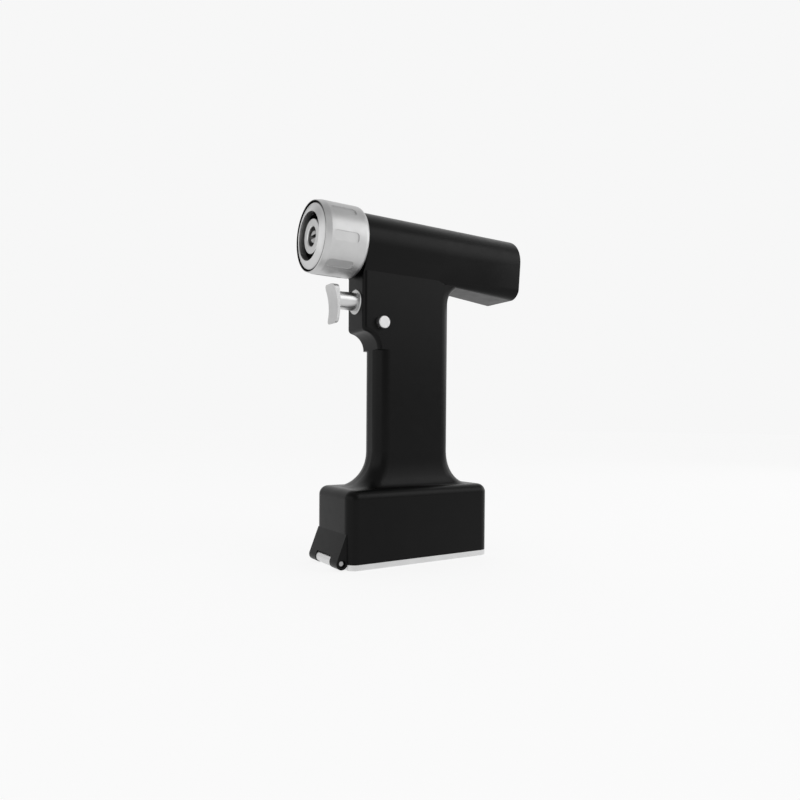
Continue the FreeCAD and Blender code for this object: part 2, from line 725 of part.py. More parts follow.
    # groove in the rear wall that the lid's catch springs into
    keeper = new_sketch(body, "keeper_side", "XZ")
    trace(keeper, plain_box(f"{BASE_REAR} - chamber_wall - 0.5", f"{BASE_REAR} - chamber_wall + catch_hook + body_gap",
                            f"{CATCH_BEND} - catch_hook - body_gap", f"{CATCH_BEND} + catch_hook + body_gap"))
    pocket(body, "keeper_groove", keeper, "catch_width + 2 * body_gap", both_ways=True)
    nodes.append(body)
    return body


def is_in_box(edge):
    return edge.BoundBox.ZMax < number("base_height") + 0.5


def is_block_side(edge):
    """An edge of the trigger block's flank that runs down its front, round the corner or along the throat."""
    box = edge.BoundBox
    in_flank = box.YLength < 0.01 and near(abs(box.YMin), HALF_HANDLE)
    in_front = box.XMax < number(HANDLE_FRONT) + 0.01 and box.ZMax > number("block_bottom") - 30
    return in_flank and in_front and box.XMin < number(HANDLE_FRONT) - 0.01 and box.ZMin > number("base_height") + 5


def flare_levels(body, name, height, reaches, foot, upward):
    """The levels of a flare, closer together where it turns out most. It opens towards its foot,
    which lies below the handle when upward and above it otherwise."""
    levels = []
    for step in range(FLARE_LEVELS):
        share = math.sin(math.radians(90 * (1 - step / (FLARE_LEVELS - 1)))) * FLARE_END_SHARE
        rise = f"({height} * {share:.4f})"
        level = f"{foot} + {height} - {rise}" if upward else f"{foot} - {height} + {rise}"
        levels.append(flare_section(body, f"{name}_level_{step}", height, reaches, level, rise))
    return levels[0], levels[1:], False


# Collar and nose

def make_collar():
    land = f"({COLLAR_REAR} - collar_land_length)"
    shoulder = "((collar_chamfer_length ^ 2 + collar_chamfer_depth ^ 2) / (2 * collar_chamfer_depth))"
    sleeve = new_body("collar_sleeve", "axis_height")
    turn(sleeve, "turning", [
        (COLLAR_FRONT, "face_ring_radius + face_ring_groove"),
        (FACE_REAR, "face_ring_radius + face_ring_groove"),
        (FACE_REAR, "collar_bore_radius"),
        (land, "collar_bore_radius"),
        (land, "nose_radius + running_clearance"),
        (COLLAR_REAR, "nose_radius + running_clearance"),
        (COLLAR_REAR, "collar_radius - collar_chamfer_depth"),
        (f"{COLLAR_REAR} - collar_chamfer_length", "collar_radius", shoulder, 1),
        (f"{COLLAR_FRONT} + collar_lead_length", "collar_radius"),
        (f"{COLLAR_FRONT} + collar_front_edge", "collar_radius - collar_lead_depth"),
        (COLLAR_FRONT, "collar_radius - collar_lead_depth - collar_front_edge", "collar_front_edge", 1),
    ])
    flute_start = f"({COLLAR_FRONT} + flute_front)"
    flute_end = f"({flute_start} + flute_length)"
    flute_outline = new_sketch(sleeve, "flute_outline", "XY", "collar_radius - flute_depth")
    trace(flute_outline, rounded_box(flute_start, flute_end, "(-flute_width / 2)", "(flute_width / 2)", "flute_corner"))
    flute = pocket(sleeve, "flute", flute_outline, "flute_depth + 1", forward=True)
    repeat_around(sleeve, "flutes", flute, outline_of(sleeve), "flute_count")
    sleeve.Placement = Placement(Vector(0, 0, 0), Rotation(Vector(1, 0, 0), 90 + number("flute_phase")))
    nodes.append(sleeve)

    ring_face = f"({COLLAR_FRONT} + face_recess)"
    turned("collar_face_ring", [
        ("(-overall_length / 2)", "channel_radius + 0.3"),
        ("(0.3 - overall_length / 2)", "channel_radius"),
        (FACE_REAR, "channel_radius"),
        (FACE_REAR, "face_ring_radius"),
        (f"{ring_face} + face_ring_edge", "face_ring_radius"),
        (ring_face, "face_ring_radius - face_ring_edge", "face_ring_edge", 1),
    ])

    bayonet = new_body("bayonet_ring", "axis_height")
    turn(bayonet, "turning", [
        (FACE_REAR, "bayonet_radius"),
        (BAYONET_REAR, "bayonet_radius"),
        (BAYONET_REAR, "collar_bore_radius - seat_clearance"),
        (FACE_REAR, "collar_bore_radius - seat_clearance"),
    ])
    lug_side = new_sketch(bayonet, "lug_side", "YZ", f"{COLLAR_FRONT} + face_recess + face_ring_depth + bayonet_lug_setback")
    trace(lug_side, plain_box("(-bayonet_lug_width / 2)", "(bayonet_lug_width / 2)", "bayonet_lug_radius",
                              "bayonet_radius + 1"))
    lug = pad(bayonet, "lug", lug_side, "bayonet_lug_thickness")
    repeat_around(bayonet, "lug_ring", lug, outline_of(bayonet), "bayonet_lug_count")
    nodes.append(bayonet)

    groove_start = f"({NOSE_FRONT} + circlip_setback)"
    groove_end = f"({groove_start} + circlip_thickness)"
    turned("nose_tube", [
        (NOSE_FRONT, "nose_bore_radius"),
        (SPIGOT_END, "nose_bore_radius"),
        (SPIGOT_END, "barrel_bore_radius - seat_clearance"),
        (BARREL_FRONT, "barrel_bore_radius - seat_clearance"),
        (BARREL_FRONT, "nose_radius"),
        (groove_end, "nose_radius"),
        (groove_end, "nose_radius - circlip_depth"),
        (groove_start, "nose_radius - circlip_depth"),
        (groove_start, "nose_radius"),
        (NOSE_FRONT, "nose_radius"),
    ])
    tube("collar_circlip", f"{groove_start} + 0.05", f"{groove_end} - 0.05",
         "nose_radius - circlip_depth + seat_clearance", "nose_radius + circlip_reach")
    spring_start = f"({groove_end} + collar_spring_wire + 0.1)"
    spring_end = f"({land} - collar_spring_wire - 0.1)"
    coil("collar_spring", spring_start, f"{spring_end} - {spring_start}", "collar_spring_turns",
         "(nose_radius + collar_bore_radius) / 2", "collar_spring_wire", "axis_height")


def coil(label, start, length, turns, radius, wire, height):
    """A round-wire spring wound about the X axis."""
    body = new_body(label, height)
    section = add_circle(new_sketch(body, "wire", "XZ"), start, radius, wire)
    feature = body.newObject("PartDesign::AdditiveHelix", "coils")
    feature.Profile = (section, [""])
    feature.ReferenceAxis = (section, ["H_Axis"])
    feature.Mode = "height-turns-angle"
    feature.setExpression("Height", formula(length))
    feature.setExpression("Turns", formula(turns))
    nodes.append(body)
    return body


def make_boss():
    boss_end = f"({BEARING_END} + 0.7)"
    turned("nose_boss", [
        (f"{BOSS_FRONT} + boss_edge", "boss_bore_radius"),
        (BEARING_FRONT, "boss_bore_radius"),
        (BEARING_FRONT, "bearing_radius + seat_clearance"),
        (boss_end, "bearing_radius + seat_clearance"),
        (boss_end, "nose_bore_radius - seat_clearance"),
        (NOSE_FRONT, "nose_bore_radius - seat_clearance"),
        (NOSE_FRONT, "boss_flange_radius"),
        (FLANGE_FRONT, "boss_flange_radius"),
        (FLANGE_FRONT, "boss_radius + boss_step"),
        (SEAL_FRONT, "boss_radius + boss_step"),
        (SEAL_FRONT, "boss_radius"),
        (f"{BOSS_FRONT} + boss_edge", "boss_radius"),
        (BOSS_FRONT, "boss_radius - boss_edge", "boss_edge", 1),
        (BOSS_FRONT, "boss_bore_radius + boss_edge"),
    ])
    tube("channel_seal", SEAL_FRONT, FLANGE_FRONT, "boss_radius + boss_step + seat_clearance",
         "channel_radius")


# Spindle, bearings and gears

def race_pair(name, starts, width, outer_radius, shaft_radius, race):
    """Outer races with their shields, and inner races, of shielded ball bearings. The balls lie
    sealed between the shields and aren't drawn."""
    outers = []
    inners = []
    shield = "0.3"
    for index, start in enumerate(starts):
        end = f"({start} + {width})"
        outers.append(turned(f"{name}_outer_{index + 1}", [
            (start, f"{shaft_radius} + {race} + running_clearance"),
            (f"{start} + {shield}", f"{shaft_radius} + {race} + running_clearance"),
            (f"{start} + {shield}", f"{outer_radius} - {race}"),
            (f"{end} - {shield}", f"{outer_radius} - {race}"),
            (f"{end} - {shield}", f"{shaft_radius} + {race} + running_clearance"),
            (end, f"{shaft_radius} + {race} + running_clearance"),
            (end, outer_radius),
            (start, outer_radius),
        ], node=False))
        inners.append(tube(f"{name}_inner_{index + 1}", start, end, f"{shaft_radius} + seat_clearance",
                           f"{shaft_radius} + {race}", node=False))
    group(f"{name}_outer_races", outers)
    group(f"{name}_inner_races", inners)


def make_spindle():
    tip = f"({BOSS_FRONT} + spindle_recess)"
    shoulder = f"({BEARING_FRONT} - 0.3)"
    spindle = new_body("output_spindle", "axis_height")
    turn(spindle, "turning", [
        (tip, "0"),
        (CARRIER_REAR, "0"),
        (CARRIER_REAR, "spindle_radius"),
        (shoulder, "spindle_radius"),
        (shoulder, "spindle_tip_radius"),
        (f"{tip} + 0.4", "spindle_tip_radius"),
        (tip, "spindle_tip_radius - 0.4"),
    ])
    slot = new_sketch(spindle, "slot_outline", "YZ", tip)
    trace(slot, plain_box("(-spindle_radius)", "spindle_radius", "(-spindle_slot_width / 2)", "(spindle_slot_width / 2)"))
    pocket(spindle, "drive_slot", slot, "spindle_slot_depth", forward=True)
    nodes.append(spindle)

    race_pair("spindle_bearing", [BEARING_FRONT, BEARING_TWO], "bearing_width", "bearing_radius", "spindle_radius",
              "bearing_race_thickness")
    tube("bearing_spacer", f"{BEARING_FRONT} + bearing_width", BEARING_TWO, "bearing_radius - bearing_race_thickness",
         "bearing_radius")

    carrier = new_body("planet_carrier", "axis_height")
    turn(carrier, "turning", [
        (CARRIER_FRONT, "spindle_radius + seat_clearance"),
        (CARRIER_REAR, "spindle_radius + seat_clearance"),
        (CARRIER_REAR, "carrier_radius"),
        (CARRIER_FRONT, "carrier_radius"),
    ])
    pin_hole = add_circle(new_sketch(carrier, "pin_hole", "YZ", CARRIER_FRONT), "0", PLANET_ORBIT,
                          "carrier_pin_radius + seat_clearance")
    hole = pocket(carrier, "pin_hole_cut", pin_hole, "carrier_thickness", forward=True)
    repeat_around(carrier, "pin_holes", hole, outline_of(carrier), "planet_count")
    scallop = add_circle(new_sketch(carrier, "scallop", "YZ", CARRIER_FRONT), "0", "-(carrier_radius + 0.8)", "3.2")
    cut = pocket(carrier, "scallop_cut", scallop, "carrier_thickness", forward=True)
    repeat_around(carrier, "scallops", cut, outline_of(carrier), "planet_count")
    nodes.append(carrier)

    pins = []
    for index in range(number_of("planet_count")):
        pin = new_body(f"carrier_pin_{index + 1}")
        outline = new_sketch(pin, "section", "YZ", CARRIER_FRONT)
        angle = f"({index} * 360 / planet_count)"
        add_circle(outline, f"-({PLANET_ORBIT}) * sin({angle} * 1 deg)",
                   f"axis_height + ({PLANET_ORBIT}) * cos({angle} * 1 deg)", "carrier_pin_radius")
        pad(pin, "pin", outline, f"{PLANET_FRONT} + gear_width + 0.5 * carrier_gap - {CARRIER_FRONT}")
        pins.append(pin)
    group("carrier_pins", pins)


def tooth_outline(teeth, tip_radius, root_radius, thinning, turn_degrees):
    """A gear's outline with involute flanks, one tooth centred straight up before it is turned.
    Thinning is taken off each side of every tooth at the pitch circle."""
    pressure = math.radians(20)
    pitch_radius = teeth * SIZES["gear_module"] / 2
    base_radius = pitch_radius * math.cos(pressure)
    involute = math.tan(pressure) - pressure
    half_tooth = math.pi / (2 * teeth) - thinning / pitch_radius
    flank_start = max(base_radius, root_radius)

    def place(radius, angle):
        turned_angle = angle + math.radians(90 + turn_degrees)
        return Vector(0, radius * math.cos(turned_angle), radius * math.sin(turned_angle))

    def flank_angle(radius):
        slope = math.acos(min(base_radius / radius, 1))
        return half_tooth + involute - (math.tan(slope) - slope)

    edges = []
    steps = [flank_start + (tip_radius - flank_start) * share for share in (0, 0.25, 0.6, 1)]
    pitch_angle = 2 * math.pi / teeth
    for tooth in range(teeth):
        centre = tooth * pitch_angle
        rising = [place(radius, centre - flank_angle(radius)) for radius in steps]
        falling = [place(radius, centre + flank_angle(radius)) for radius in reversed(steps)]
        foot = place(root_radius, centre - flank_angle(flank_start))
        far_foot = place(root_radius, centre + flank_angle(flank_start))
        if (foot - rising[0]).Length > 1e-6:
            edges.append(Part.makeLine(foot, rising[0]))
        edges.append(flank_curve(rising))
        edges.append(Part.Arc(rising[-1], place(tip_radius, centre), falling[0]).toShape())
        edges.append(flank_curve(falling))
        if (far_foot - falling[-1]).Length > 1e-6:
            edges.append(Part.makeLine(falling[-1], far_foot))
        next_foot = place(root_radius, centre + pitch_angle - flank_angle(flank_start))
        edges.append(Part.Arc(far_foot, place(root_radius, centre + pitch_angle / 2), next_foot).toShape())
    return Part.Wire(Part.__sortEdges__(edges))


def flank_curve(points):
    curve = Part.BSplineCurve()
    curve.interpolate(points)
    return curve.toShape()


def gear(label, teeth, hole_radius, start, length, turn_degrees, orbit_degrees=None):
    """An outside gear along X, on the drive axis or on a planet's pin."""
    module = SIZES["gear_module"]
    pitch_radius = teeth * module / 2
    outline = tooth_outline(teeth, pitch_radius + ADDENDUM * module, pitch_radius - DEDENDUM * module,
                            number("gear_backlash") / 2, turn_degrees)
    hole = Part.Wire([Part.makeCircle(hole_radius, Vector(0, 0, 0), Vector(1, 0, 0))])
    solid = Part.makeFace([outline, hole], "Part::FaceMakerBullseye").extrude(Vector(number(length), 0, 0))
    feature = doc.addObject("Part::Feature", label)
    feature.Label = label
    feature.Shape = solid
    centre = Vector(number(start), 0, number("axis_height"))
    if orbit_degrees is not None:
        orbit = number(PLANET_ORBIT)
        angle = math.radians(orbit_degrees)
        centre += Vector(0, -orbit * math.sin(angle), orbit * math.cos(angle))
    feature.Placement = Placement(centre, Rotation())
    nodes.append(feature)
    return feature


def make_gears():
    sun_teeth = number_of("sun_teeth")
    planet_teeth = number_of("planet_teeth")
    ring_teeth = sun_teeth + 2 * planet_teeth
    module = SIZES["gear_module"]
    gear("sun_pinion", sun_teeth, number("motor_shaft_radius + seat_clearance"), f"{PLANET_FRONT} - 0.3",
         "gear_width + 0.6", 0)
    for index in range(number_of("planet_count")):
        orbit_degrees = index * 360 / number_of("planet_count")
        # a gap between teeth faces the sun, straight in towards the axis
        gear(f"planet_gear_{index + 1}", planet_teeth, number("carrier_pin_radius + running_clearance"), PLANET_FRONT,
             "gear_width", orbit_degrees + 180 / planet_teeth, orbit_degrees)

    pitch_radius = ring_teeth * module / 2
    blank = Part.makeCylinder(number("barrel_bore_radius - seat_clearance"), number("ring_gear_length"),
                              Vector(0, 0, 0), Vector(1, 0, 0))
    # the ring's tooth spaces have the outline of a gear, half a pitch off, so that a tooth is at the top
    spaces = tooth_outline(ring_teeth, pitch_radius + DEDENDUM * module, pitch_radius - ADDENDUM * module,
                           -number("gear_backlash") / 2, 180 / ring_teeth)
    cutter = Part.Face(spaces).extrude(Vector(number("ring_gear_length"), 0, 0))
    ring = doc.addObject("Part::Feature", "ring_gear")
    ring.Label = "ring_gear"
    ring.Shape = blank.cut(cutter)
    ring.Placement = Placement(Vector(number(GEAR_FRONT), 0, number("axis_height")), Rotation())
    nodes.append(ring)


# Motor

def make_motor():
    shaft = "motor_shaft_radius"
    bearing_hole = "motor_bearing_radius + seat_clearance"
    tube_end = f"({MOTOR_REAR} - motor_bearing_width - 1)"
    turned("motor_front_flange", [
        (GEAR_REAR, "motor_pilot_radius"),
        (f"{GEAR_REAR} + 0.5", "motor_pilot_radius"),
        (f"{GEAR_REAR} + 0.5", bearing_hole),
        (MOTOR_SEAT, bearing_hole),
        (MOTOR_SEAT, "barrel_bore_radius - seat_clearance"),
        (GEAR_REAR, "barrel_bore_radius - seat_clearance"),
    ])
    can_inner = "(barrel_bore_radius - seat_clearance - motor_can_wall)"
    tube("motor_can", MOTOR_SEAT, MOTOR_REAR, can_inner, "barrel_bore_radius - seat_clearance")
    tube("motor_rear_flange", tube_end, MOTOR_REAR, bearing_hole, f"{can_inner} - seat_clearance")
    rotor_front = f"(({MOTOR_SEAT} + {tube_end} - rotor_length) / 2)"
    rotor_rear = f"({rotor_front} + rotor_length)"
    tube("stator_core", rotor_front, rotor_rear, "winding_radius + seat_clearance", f"{can_inner} - seat_clearance")
    tube("stator_winding", f"{rotor_front} - 2", f"{rotor_rear} + 2", "rotor_radius + winding_air_gap", "winding_radius")
    tube("rotor_magnet", rotor_front, rotor_rear, f"{shaft} + seat_clearance", "rotor_radius")
    rod("rotor_shaft", f"{PLANET_FRONT} - 0.3", f"{MOTOR_REAR} + 1", shaft)
    race_pair("motor_bearing", [f"({GEAR_REAR} + 0.5)", f"({MOTOR_REAR} - motor_bearing_width)"], "motor_bearing_width",
              "motor_bearing_radius", shaft, "0.9")
    tube("hall_board", f"{MOTOR_REAR} + 1.2", f"{MOTOR_REAR} + 1.2 + hall_board_thickness", "3",
         "tail_bore_radius - 0.1")
    board_start = f"({MOTOR_REAR} + 5)"
    block("power_board", board_start, f"{board_start} + power_board_length", "-power_board_width / 2",
          "power_board_width / 2", "axis_height - 4", "axis_height - 4 + board_thickness", "1.5")
    capacitors = []
    for index in range(2):
        capacitor = new_body(f"capacitor_{index + 1}", "axis_height - 4 + board_thickness + 3.5", x="0")
        turn(capacitor, "turning", [
            (f"{board_start} + 5", "0"), (f"{board_start} + 19", "0"),
            (f"{board_start} + 19", "3.4"), (f"{board_start} + 5", "3.4")])
        capacitor.setExpression("Placement.Base.y", formula(f"{8 * index - 4} * power_board_width / power_board_width"))
        capacitors.append(capacitor)
    group("power_capacitors", capacitors)


# Trigger and selector

def make_trigger():
    bush_front = f"({BLOCK_FRONT} - bush_flange_thickness)"
    bush_end = f"({BLOCK_FRONT} + bush_length)"
    bore = "(plunger_radius + running_clearance)"
    seal_start = f"({bush_front} + trigger_seal_setback)"
    seal_end = f"({seal_start} + 2 * trigger_seal_section)"
    turned("trigger_bush", [
        (bush_front, bore),
        (seal_start, bore),
        (seal_start, f"{bore} + 1.6 * trigger_seal_section"),
        (seal_end, f"{bore} + 1.6 * trigger_seal_section"),
        (seal_end, bore),
        (f"{bush_end} - bush_end_wall", bore),
        (f"{bush_end} - bush_end_wall", "plunger_rod_radius + running_clearance"),
        (bush_end, "plunger_rod_radius + running_clearance"),
        (bush_end, "bush_radius"),
        (BLOCK_FRONT, "bush_radius"),
        (BLOCK_FRONT, "bush_flange_radius"),
        (f"{bush_front} + 0.3", "bush_flange_radius"),
        (bush_front, "bush_flange_radius - 0.3"),
    ], "trigger_height")
    tube("trigger_seal", f"{seal_start} + 0.05", f"{seal_end} - 0.05", "plunger_radius + seat_clearance",
         f"{bore} + 1.6 * trigger_seal_section - seat_clearance", "trigger_height")

    shoulder = f"({BLOCK_FRONT} + plunger_guide_length)"
    rod_end = f"({bush_end} + body_gap + magnet_length)"
    turned("trigger_plunger", [
        (PLUNGER_FRONT, "0"),
        (rod_end, "0"),
        (rod_end, "plunger_rod_radius"),
        (shoulder, "plunger_rod_radius"),
        (shoulder, "plunger_radius"),
        (PLUNGER_FRONT, "plunger_radius"),
    ], "trigger_height")
    tube("trigger_magnet", f"{bush_end} + body_gap", rod_end, "plunger_rod_radius + seat_clearance", "magnet_radius",
         "trigger_height")
    spring_start = f"({shoulder} + trigger_spring_wire + 0.05)"
    spring_end = f"({bush_end} - bush_end_wall - trigger_spring_wire - 0.05)"
    coil("trigger_spring", spring_start, f"{spring_end} - {spring_start}", "trigger_spring_turns",
         "trigger_spring_radius", "trigger_spring_wire", "trigger_height")

    finger = new_body("trigger_pad")
    side = new_sketch(finger, "pad_side", "XZ")
    front = f"({PAD_REAR} - pad_thickness)"
    low = "(trigger_height - pad_below)"
    high = "(trigger_height + pad_above)"
    trace(side, [
        (f"{front} - pad_foot_lean", low, "pad_hollow_radius", -1),
        (f"{PAD_REAR} - pad_back_lean - pad_heel", low),
        (f"{PAD_REAR} - pad_back_lean", f"{low} + pad_heel", "pad_heel", 1),
        (f"{PAD_REAR} - pad_back_lean", high, "pad_back_radius", 1),
        (f"{front} - pad_top_lean", high),
    ])
    pad(finger, "pad", side, "pad_width", both_ways=True)
    frame = new_sketch(finger, "pad_front", "YZ", f"{PAD_REAR} + 1")
    reach = "pad_thickness + pad_top_lean + 2"
    trace(frame, plain_box("(-pad_width)", "pad_width", f"{low} - pad_corner", f"{high} + pad_corner"))
    trace(frame, rounded_box("(-pad_width / 2)", "(pad_width / 2)", low, high, "pad_corner"))
    pocket(finger, "pad_corners", frame, reach)
    neck = add_circle(new_sketch(finger, "neck", "YZ", PLUNGER_FRONT), "0", "trigger_height", "plunger_radius")
    pad(finger, "plunger_seat", neck, "0.6 * pad_thickness", backward=True)
    nodes.append(finger)


def make_selector():
    near_end = f"(-{HALF_HANDLE} - selector_travel)"
    groove = "(selector_radius - 1.4 * selector_seal_section)"
    outline = [(near_end, "0"), (HALF_HANDLE, "0"), (HALF_HANDLE, "selector_radius - selector_edge"),
               (f"{HALF_HANDLE} - selector_edge", "selector_radius", "selector_edge", 1)]
    seals = []
    for index, seat in enumerate((SELECTOR_SEAL_FAR, SELECTOR_SEAL_NEAR)):
        low = f"({seat} - selector_seal_section)"
        high = f"({seat} + selector_seal_section)"
        outline += [(high, "selector_radius"), (high, groove), (low, groove), (low, "selector_radius")]
        seals.append(tube(f"selector_seal_{index + 1}", f"{low} + 0.05", f"{high} - 0.05", f"{groove} + seat_clearance",
                          "selector_radius + 0.5 * running_clearance", "selector_height", "Y", SELECTOR_X, node=False))
    outline += [(f"{near_end} + selector_edge", "selector_radius"),
                (near_end, "selector_radius - selector_edge", "selector_edge", 1)]
    turned("selector_pin", outline, "selector_height", "Y", SELECTOR_X)
    group("selector_seals", seals)


# Battery box contents, lid and hinge

def make_lid():
    lid = new_body("lid_plate")
    outline = new_sketch(lid, "plate_outline", "XY")
    trace(outline, rounded_box(BASE_FRONT, BASE_REAR, f"(-{HALF_BASE})", HALF_BASE, "base_corner"))
    pad(lid, "plate", outline, "lid_thickness")
    round_edges(lid, "plate_edge", "lid_edge", lambda edge: near(edge.BoundBox.ZMax, "0"))
    relief = new_sketch(lid, "lug_relief", "XY")
    trace(relief, plain_box(f"{BASE_FRONT} - 1", f"{HINGE_X} + lug_radius + body_gap", "(-lug_half_width - body_gap)",
                            "(lug_half_width + body_gap)"))
    pocket(lid, "lug_relief_cut", relief, "lid_thickness + 1", forward=True)
    arm = new_sketch(lid, "arm_side", "XZ")
    back = f"({HINGE_X} + lug_radius + body_gap + 1)"
    trace(arm, [
        (back, "0"),
        (back, "lid_thickness"),
        (f"{HINGE_X} + knuckle_radius", "lid_thickness"),
        (f"{HINGE_X} + knuckle_radius", "hinge_height"),
        (HINGE_X, "hinge_height + knuckle_radius", "knuckle_radius", 1),
        (f"{HINGE_X} - knuckle_radius", "hinge_height", "knuckle_radius", 1),
        (HINGE_X, "hinge_height - knuckle_radius", "knuckle_radius", 1),
        (f"{HINGE_X} + 1", "0"),
    ])
    pad(lid, "knuckle", arm, "knuckle_length", both_ways=True)
    pin_hole = add_circle(new_sketch(lid, "pin_hole", "XZ"), HINGE_X, "hinge_height",
                          "hinge_pin_radius + running_clearance")
    pocket(lid, "pin_cut", pin_hole, "knuckle_length + 2", both_ways=True)
    for index, offset in enumerate(CATCH_SCREW_OFFSETS):
        screw_hole = add_circle(new_sketch(lid, f"screw_hole_{index + 1}", "XY", "lid_thickness"), CATCH_SCREW_X, offset,
                                "screw_radius + seat_clearance")
        pocket(lid, f"screw_cut_{index + 1}", screw_hole, "catch_screw_grip + 0.2")
    gasket = gasket_ring(new_sketch(lid, "gasket_outline", "XY", "lid_thickness"), "0")
    pocket(lid, "gasket_groove", gasket, "gasket_depth")
    nodes.append(lid)

    gasket = new_body("lid_gasket")
    ring = gasket_ring(new_sketch(gasket, "outline", "XY", "lid_thickness - gasket_depth"), "seat_clearance")
    pad(gasket, "ring", ring, "gasket_depth + gasket_proud")
    nodes.append(gasket)

    turned_pin = f"(lug_half_width - pin_recess_depth)"
    tube("hinge_pin", f"-{turned_pin}", turned_pin, "0", "hinge_pin_radius", "hinge_height", "Y", HINGE_X)


def gasket_ring(sketch, margin):
    """The ring that the lid's gasket fills, under the middle of the chamber wall."""
    for shift, corner in (("0.5 * gasket_width - " + margin, "base_corner - 0.4"),
                          ("-0.5 * gasket_width + " + margin, "base_corner - 0.4 - gasket_width")):
        rear = f"({BASE_REAR} - 0.5 * chamber_wall + {shift})"
        side = f"({HALF_BASE} - 0.5 * chamber_wall + {shift})"
        front = f"({GASKET_FRONT} - ({shift}))"
        trace(sketch, rounded_box(front, rear, f"(-{side})", side, f"({corner})"))
    return sketch


def make_catch():
    """The leaf on the lid that springs into the groove of the chamber's rear wall."""
    leaf = new_body("lid_catch")
    side = new_sketch(leaf, "leaf_side", "XZ")
    back = f"({BASE_REAR} - chamber_wall - body_gap)"
    face = f"({back} - catch_thickness)"
    foot = f"({back} - catch_foot)"
    trace(side, [
        (foot, "lid_thickness"),
        (back, "lid_thickness"),
        (back, f"{CATCH_BEND} - catch_hook"),
        (f"{back} + catch_hook", CATCH_BEND),
        (back, f"{CATCH_BEND} + catch_hook"),
        (back, f"lid_thickness + catch_height"),
        (face, f"lid_thickness + catch_height"),
        (face, "lid_thickness + catch_thickness"),
        (foot, "lid_thickness + catch_thickness"),
    ])
    pad(leaf, "leaf", side, "catch_width", both_ways=True)
    screws = []
    for index, offset in enumerate(CATCH_SCREW_OFFSETS):
        hole = add_circle(new_sketch(leaf, f"screw_hole_{index + 1}", "XY", "lid_thickness"), CATCH_SCREW_X, offset,
                          "screw_radius + running_clearance")
        pocket(leaf, f"screw_cut_{index + 1}", hole, "catch_thickness", forward=True)
        screws.append(cap_screw(f"catch_screw_{index + 1}", CATCH_SCREW_X, offset, "(lid_thickness + catch_thickness)",
                                "catch_thickness + catch_screw_grip"))
    nodes.append(leaf)
    group("catch_screws", screws)


def cap_screw(label, x, y, seat, length):
    """A pan-head screw whose head sits on a seat and whose shank points down, with a hex socket."""
    screw = new_body(label)
    head = add_circle(new_sketch(screw, "head_outline", "XY", seat), x, y, "screw_head_radius")
    pad(screw, "head", head, "screw_head_height")
    bevel_edges(screw, "head_edge", "0.25 * screw_head_height",
                lambda edge: near(edge.BoundBox.ZMin, f"{seat} + screw_head_height"))
    socket = new_sketch(screw, "socket", "XY", f"{seat} + screw_head_height")
    corners = [(f"{x} + 0.5 * screw_head_radius * cos({60 * turn_index} * 1 deg)",
                f"{y} + 0.5 * screw_head_radius * sin({60 * turn_index} * 1 deg)") for turn_index in range(6)]
    trace(socket, corners)
    pocket(screw, "socket_cut", socket, "0.5 * screw_head_height")
    shank = add_circle(new_sketch(screw, "shank_outline", "XY", seat), x, y, "screw_radius")
    pad(screw, "shank", shank, length, backward=True)
    return screw


def make_battery():
    rest_height = f"(lid_thickness + battery_lift)"
    top = f"({rest_height} + battery_height)"
    front = f"({BASE_FRONT} + chamber_wall + battery_front_gap)"
    rear = f"({front} + battery_length)"
    side = f"({HALF_BASE} - chamber_wall - battery_clearance)"
    case = new_body("battery_case")
    outline = new_sketch(case, "outline", "XY", rest_height)
    trace(outline, rounded_box(front, rear, f"(-{side})", side, "chamber_corner"))
    pad(case, "block", outline, "battery_height")
    cells = []
    for index in range(number_of("cell_count")):
        middle = f"({front} + battery_length / 2 + ({index} - (cell_count - 1) / 2) * cell_spacing)"
        height = f"({rest_height} + battery_height / 2)"
        hole = add_circle(new_sketch(case, f"cell_hole_{index + 1}", "XZ"), middle, height,
                          "cell_radius + running_clearance")
        pocket(case, f"cell_cut_{index + 1}", hole, f"2 * {side} - 2 * battery_wall", both_ways=True)
        half = f"({side} - battery_wall - running_clearance)"
        cells.append(rod(f"cell_{index + 1}", f"-{half}", half, "cell_radius", height, "Y", middle, node=False))
    nodes.append(case)
    group("battery_cells", cells)

    terminals = []
    pins = []
    contacts = new_body("contact_block")
    block_front = f"({front} + battery_length / 2 - contact_block_length / 2)"
    block_bottom = f"(chamber_ceiling - contact_block_height)"
    outline = new_sketch(contacts, "outline", "XY", block_bottom)
    trace(outline, rounded_box(block_front, f"({block_front} + contact_block_length)", "(-contact_block_width / 2)",
                               "(contact_block_width / 2)", "1.5"))
    pad(contacts, "block", outline, "contact_block_height")
    for index in range(number_of("contact_count")):
        x = f"({block_front} + contact_block_length / 2 + ({index} - (contact_count - 1) / 2) * contact_spacing)"
        terminals.append(block(f"terminal_{index + 1}", f"({x} - 2.4)", f"({x} + 2.4)", "-3", "3", top,
                               f"{top} + terminal_thickness", node=False))
        hole = add_circle(new_sketch(contacts, f"contact_hole_{index + 1}", "XY", block_bottom), x, "0",
                          "contact_pin_radius + seat_clearance")
        pocket(contacts, f"contact_cut_{index + 1}", hole, "contact_block_height", forward=True)
        pin = new_body(f"contact_pin_{index + 1}")
        section = add_circle(new_sketch(pin, "section", "XY", f"{top} + terminal_thickness + 0.05"), x, "0",
                             "contact_pin_radius")
        pad(pin, "pin", section, f"chamber_ceiling - {top} - terminal_thickness - 0.1")
        pins.append(pin)
    nodes.append(contacts)
    group("battery_terminals", terminals)
    group("contact_pins", pins)


